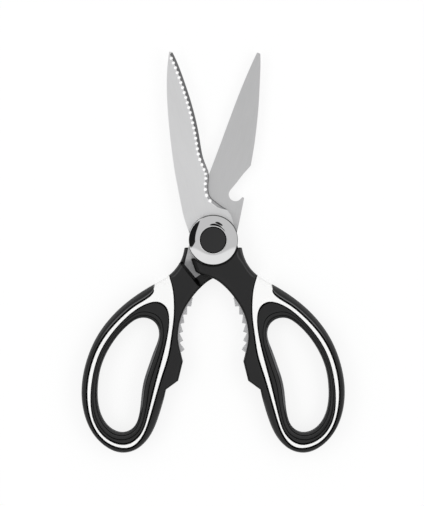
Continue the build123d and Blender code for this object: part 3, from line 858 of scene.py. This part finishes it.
def frontBladeMesh():
    # top face bounded by the bevel, whose inner border bulges round each ground dent
    b = blade
    low, high = shears["bladeLow"], shears["bladeHigh"]
    length = lineLength(b["edge"])
    count = int(round(length / b["edgeStep"])) + 1
    edge = evenly(b["edge"], count)
    tangent = unit(np.gradient(edge, axis=0))
    inward = np.stack([tangent[:, 1], -tangent[:, 0]], 1)
    s = np.linspace(0, length, count)
    nearest = np.clip(np.round((s - b["dentFirst"]) / b["dentPitch"]), 0, b["dentCount"] - 1)
    off = s - (b["dentFirst"] + nearest * b["dentPitch"])
    heelward = np.clip((s / length - b["heelwardFrom"]) / b["heelwardOver"], 0, 1)
    inset = b["dentInset"][0] + (b["dentInset"][1] - b["dentInset"][0]) * heelward
    inside = np.sqrt(np.maximum(b["dentRadius"] ** 2 - off ** 2, 0))
    border = np.maximum(b["bevelWidth"], np.where(inside > 0, inset + inside, 0))
    taper = np.clip(np.minimum(s / b["tipTaper"], (length - s) / b["heelTaper"]), 0, 1)
    taper = b["taperShare"] + (1 - b["taperShare"]) * taper
    border = border * taper
    t = np.linspace(0, 1, b["bevelSteps"])[None, :]
    d = border[:, None] * t
    slope = (high - low - b["edgeLand"]) / b["bevelWidth"]
    plane = np.minimum(low + b["edgeLand"] + d * slope / taper[:, None], high)
    radial = np.sqrt(off[:, None] ** 2 + (d - inset[:, None]) ** 2) / b["dentRadius"]
    dished = high - b["dentDepth"] * np.maximum(1 - radial ** 2, 0)
    z = np.minimum(plane, dished)
    # masks of the painted highlight in the dents and of the painted reflection on the bevel
    dent = np.clip((1 - radial) * b["dentFade"], 0, 1)
    ground = np.clip((b["bevelWidth"] + b["groundOver"] - d) * b["groundFade"], 0, 1) * (t < 1)
    flat = edge[:, None] + inward[:, None] * d[:, :, None]
    bevel = np.concatenate([flat, z[:, :, None]], 2)

    heel, spine, tip = (evenly(b[key], b[key + "Steps"]) for key in ("heel", "spine", "tip"))
    rest = np.vstack([heel[1:], b["tang"], spine, tip[1:-1]])
    restTop = np.column_stack([rest, np.full(len(rest), high)])
    restBottom = np.column_stack([rest, np.full(len(rest), low)])
    edgeBottom = np.column_stack([edge, np.full(len(edge), low)])
    columns = b["bevelSteps"]
    bevelPoints = bevel.reshape(-1, 3)
    points = np.vstack([bevelPoints, restTop, restBottom, edgeBottom])
    restAt, lowAt = len(bevelPoints), len(bevelPoints) + len(rest)
    edgeAt = lowAt + len(rest)
    faces = gridFaces(count, columns, False, False)
    i = np.arange(count - 1)
    faces += np.stack([edgeAt + i, edgeAt + i + 1, (i + 1) * columns, i * columns], 1).tolist()
    k = np.arange(len(rest) - 1)
    faces += np.stack([lowAt + k, lowAt + k + 1, restAt + k + 1, restAt + k], 1).tolist()
    innerRow = ((np.arange(count) + 1) * columns - 1).tolist()
    topLoop = innerRow + list(range(restAt, restAt + len(rest)))
    bottomLoop = list(range(edgeAt, edgeAt + count)) + list(range(lowAt, lowAt + len(rest)))
    faces.append(topLoop)
    faces.append(bottomLoop[::-1])
    lastRow = [(count - 1) * columns + c for c in range(columns)]
    faces.append([edgeAt + count - 1, lowAt, restAt] + lastRow[::-1])
    faces.append([edgeAt] + list(range(columns)) + [restAt + len(rest) - 1, lowAt + len(rest) - 1])
    # mask of the painted shadow along the edge towards the heel
    rim = np.clip((b["rimWidth"] - d) * b["rimFade"], 0, 1) * heelward[:, None]
    heelward = heelward[:, None] + 0 * d
    quiet = np.zeros(len(rest) * 2 + count)
    attributes = {
        key: np.concatenate([values.ravel(), quiet])
        for key, values in (("dent", dent), ("ground", ground), ("heelward", heelward), ("rim", rim))
    }
    return meshFrom("frontBlade", points, faces, "front", attributes)


def rearBladeMesh():
    b = blade
    edge, spine, opener, back = (
        evenly(b[key], b[key + "Steps"]) for key in ("plainEdge", "plainSpine", "opener", "plainBack")
    )
    heel, tip = (edge[-1] + b["tang"][0]) / 2, evenly(b["plainTip"], b["tipSteps"])
    loop = np.vstack([edge, heel, b["tang"], spine, opener, back[1:], tip[1:-1]])
    onEdge = np.zeros(len(loop))
    onEdge[1 : len(edge) - 1] = 1
    low, high = shears["bladeLow"], shears["bladeHigh"]
    levels = [
        (insetLoop(loop, b["edgeBreak"] / 2), low), (loop, low + b["edgeBreak"] / 2),
        (loop, low + b["edgeLand"] * onEdge + (high - low - b["edgeBreak"]) * (1 - onEdge)),
        (insetLoop(loop, b["edgeBreak"] + (b["bevelWidth"] - b["edgeBreak"]) * onEdge), high),
    ]
    loops = [np.column_stack([flat, np.broadcast_to(z, (len(loop),))]) for flat, z in levels]
    return plateMesh("rearBlade", loops, "rear")


# Cover over the pivot: a domed chrome ring and a soft black button

cover = {
    "radius": 12.8, "hole": 6.91, "low": 2.6, "high": 6.2, "rimRadius": 0.48, "innerSlope": 3.5,
    "outerSlope": 20.0, "lip": 0.32, "domeSteps": 24, "wall": 0.9, "headTop": 5.0,
    "hollowUp": 1.2, "seat": 1.6, "rimSteps": 8, "lipSteps": 7, "turnSteps": 160,
}


def coverRingMesh():
    # dome whose slope grows evenly from the inner lip to the rim
    c = cover
    r = np.linspace(c["hole"] + c["lip"], c["radius"] - c["rimRadius"], c["domeSteps"])
    slope = np.radians(np.linspace(c["innerSlope"], c["outerSlope"], c["domeSteps"]))
    drop = np.concatenate([[0], np.cumsum((np.tan(slope[1:]) + np.tan(slope[:-1])) / 2 * np.diff(r))])
    dome = np.column_stack([r, c["high"] - drop])
    centre = dome[-1] - c["rimRadius"] * np.array([math.sin(slope[-1]), math.cos(slope[-1])])
    rim = arc(centre, c["rimRadius"], 90 - c["outerSlope"], 0, c["rimSteps"])[1:]
    rim[:, 0] = np.minimum(rim[:, 0] + c["radius"] - rim[-1, 0], c["radius"])
    lip = arc((c["hole"] + c["lip"], c["high"] - c["lip"]), c["lip"], 180, 90, c["lipSteps"])[:-1]
    wallAt = c["radius"] - c["wall"]
    inside = np.array([
        (c["radius"], c["low"]), (wallAt, c["low"]), (wallAt, c["low"] + c["hollowUp"]),
        (c["hole"] + c["seat"], c["headTop"]), (c["hole"], c["headTop"]),
    ])
    return revolvedMesh("coverRing", np.vstack([lip, dome, rim, inside]), "front", c["turnSteps"])


coverButton = {
    "radius": 6.85, "low": 5.0, "rim": 5.78, "crown": 0.2, "round": 0.3, "topSteps": 14, "rimSteps": 6,
    "turnSteps": 96,
}


def coverButtonMesh():
    # very slightly crowned cap with a rounded rim
    b = coverButton
    r = np.linspace(0, b["radius"] - b["round"], b["topSteps"])
    top = np.column_stack([r, b["rim"] + b["crown"] * (1 - (r / b["radius"]) ** 2)])
    edge = arc((b["radius"] - b["round"], b["rim"] - b["round"]), b["round"], 90, 0, b["rimSteps"])[1:]
    low = np.array([(b["radius"], b["low"]), (0, b["low"])])
    return revolvedMesh("coverButton", np.vstack([top, edge, low]), "front", b["turnSteps"])


# Pieces on their bodies

def addPiece(name, mesh, body, node, material, slotName, sharp):
    mesh.polygons.foreach_set("use_smooth", np.ones(len(mesh.polygons), bool))
    mesh.set_sharp_from_angle(angle=math.radians(sharp))
    piece = bpy.data.objects.new(name, mesh)
    bpy.context.scene.collection.objects.link(piece)
    mesh.materials.append(materials[material])
    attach(piece, body)
    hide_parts(node)


# how each is made, then its node, material, slot and the angle from which an edge is sharp
handlePieces = {
    "OuterGrip": (outerGripMesh, "outer_grip", "softBlack", "black_grip", 35),
    "HandleCore": (whiteCoreMesh, "handle_core", "hardWhite", "white_plastic", 35),
    "RingGrip": (ringGripMesh, "ring_grip", "softBlack", "black_grip", 35),
    "Jaw": (jawMesh, "jaw", "jawSteel", "jaw_steel", 20),
}
for side in ("front", "rear"):
    for name, (makeMesh, node, *finish) in handlePieces.items():
        addPiece(f"{side}{name}", makeMesh(side), f"{side}_half", f"{side}_{node}", *finish)

# mesh, body, node, material, slot and angle
for mesh, body, node, *finish in (
    (frontBladeMesh(), "front_half", "front_blade", "frontSteel", "front_steel", 25),
    (rearBladeMesh(), "rear_half", "rear_blade", "rearSteel", "rear_steel", 25),
    (coverRingMesh(), "front_half", "cover_ring", "coverChrome", "cover_chrome", 45),
    (coverButtonMesh(), "front_half", "cover_button", "buttonBlack", "black_button", 45),
):
    addPiece(mesh.name, mesh, body, node, *finish)
for node in ("pivot_screw", "pivot_nut", "spring_washer", "blade_washer"):
    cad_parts[node].data.materials.clear()
    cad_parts[node].data.materials.append(materials["turnedSteel"])
print("pieces ready")


# Studio: pale floor, soft light from above and from both sides

studio = {
    "floorSize": 3.0, "floorDrop": 0.00005, "floorColour": (0.95, 0.95, 0.95), "floorGlow": 0.82,
    "worldDiffuse": 0.80, "lampStrength": 3.2, "lampHeight": 0.9, "lampSide": 0.8, "lampSize": (0.5, 1.2),
    # what polished faces mirror: an even tent, brighter low in front, with bright sides and a dark flag
    "tent": 0.585, "front": 0.84, "frontFrom": -0.19, "frontSharp": 14,
    "side": 0.8, "sideNear": 0.6, "sideSlope": 1.6, "sideMiddle": 0.8, "sideFrom": 0.72, "sideTo": 0.45,
    "flag": 0.012, "flagFrom": -0.355, "flagSlant": 1.3, "flagSlantFrom": -0.03, "flagSharp": 60,
    # dark strips over the pivot, as x and y of the mirrored directions, and their reach
    "stripSharp": 3,
    "strips": [
        ((0.095, 0.335), (0.125, 0.295), 0.06), ((0.02, 0.215), (0.05, 0.185), 0.07),
        ((0.05, 0.18), (0.10, 0.125), 0.042),
    ],
}


def addFloor():
    s = studio["floorSize"] / 2
    mesh = bpy.data.meshes.new("floor")
    mesh.from_pydata([(-s, -s, 0), (s, -s, 0), (s, s, 0), (-s, s, 0)], [], [(0, 1, 2, 3)])
    floor = bpy.data.objects.new("floor", mesh)
    bpy.context.scene.collection.objects.link(floor)
    floor.location.z = -studio["floorDrop"]
    material, make = newMaterial("floorPaper")
    paper = make.out(make.add("BsdfDiffuse", Color=(*studio["floorColour"], 1)))
    glow = make.out(make.add("Emission", Color=(1, 1, 1, 1), Strength=1.0))
    seen = make.out(make.add("LightPath"), "Is Camera Ray") * studio["floorGlow"]
    shown = make.add("MixShader", seen, paper, glow)
    make.add("OutputMaterial", Surface=make.out(shown))
    mesh.materials.append(material)


def nearSegment(x, y, start, end, reach):
    # 1 near a segment and 0 beyond its reach; t, from 0 to 1, is the foot of the perpendicular
    dx, dy = end[0] - start[0], end[1] - start[1]
    t = (((x - start[0]) * dx + (y - start[1]) * dy) / (dx * dx + dy * dy)).clamped()
    offX, offY = x - start[0] - t * dx, y - start[1] - t * dy
    sharp = studio["stripSharp"] / (reach * reach)
    return ((reach * reach - (offX * offX + offY * offY)) * sharp).clamped()


def addWorld():
    world = bpy.data.worlds.new("studio")
    bpy.context.scene.world = world
    world.use_nodes = True
    make = Shader(world.node_tree)
    path = make.add("LightPath")
    x, y, z = make.parts(make.out(make.add("TexCoord"), "Generated"))
    front = ((studio["frontFrom"] - y) * studio["frontSharp"] + 0.5).clamped()
    tent = studio["tent"] + front * (studio["front"] - studio["tent"])
    flagEdge = studio["flagFrom"] - (studio["flagSlantFrom"] - y).atLeast(0) * studio["flagSlant"]
    flag = ((flagEdge - x) * studio["flagSharp"] + 0.5).clamped() * (1 - front)
    for start, end, reach in studio["strips"]:
        flag = flag.atLeast(nearSegment(x, y, start, end, reach))
    tent = tent * (1 - flag) + flag * studio["flag"]
    low = ((studio["sideFrom"] - z) / (studio["sideFrom"] - studio["sideTo"])).clamped()
    side = studio["side"] * (y * studio["sideSlope"] + studio["sideMiddle"]).clamped() + studio["sideNear"]
    tent = tent + (side - tent) * low
    glossy = make.out(path, "Is Glossy Ray")
    camera = make.out(path, "Is Camera Ray")
    level = glossy * tent + (1 - glossy) * studio["worldDiffuse"]
    level = level * (1 - camera) + camera
    background = make.add("Background", Color=(1, 1, 1, 1), Strength=level)
    make.add("OutputWorld", Surface=make.out(background))


def addLamps():
    for name, across in (("lampLeft", -1), ("lampRight", 1)):
        lamp = bpy.data.lights.new(name, "AREA")
        lamp.shape, lamp.size, lamp.size_y = "RECTANGLE", *studio["lampSize"]
        lamp.energy = studio["lampStrength"]
        holder = bpy.data.objects.new(name, lamp)
        holder.visible_glossy = False
        bpy.context.scene.collection.objects.link(holder)
        holder.location = (across * studio["lampSide"], 0, studio["lampHeight"])
        aim = math.atan2(studio["lampSide"], studio["lampHeight"])
        holder.rotation_euler = (0, across * aim, 0)


camera = {
    "lens": 150.0, "sensor": 36.0, "clip": (0.05, 10), "frameHeight": 0.2624, "centre": (-0.0006, -0.0067),
    "plane": 0.0065,
}


def addCamera():
    data = bpy.data.cameras.new("camera")
    data.lens, data.sensor_width = camera["lens"], camera["sensor"]
    holder = bpy.data.objects.new("camera", data)
    bpy.context.scene.collection.objects.link(holder)
    distance = camera["frameHeight"] * data.lens / data.sensor_width
    holder.location = (*camera["centre"], camera["plane"] + distance)
    data.clip_start, data.clip_end = camera["clip"]
    bpy.context.scene.camera = holder


addFloor()
addWorld()
addLamps()
addCamera()
bpy.context.scene.view_settings.view_transform = "Standard"
print("studio ready")
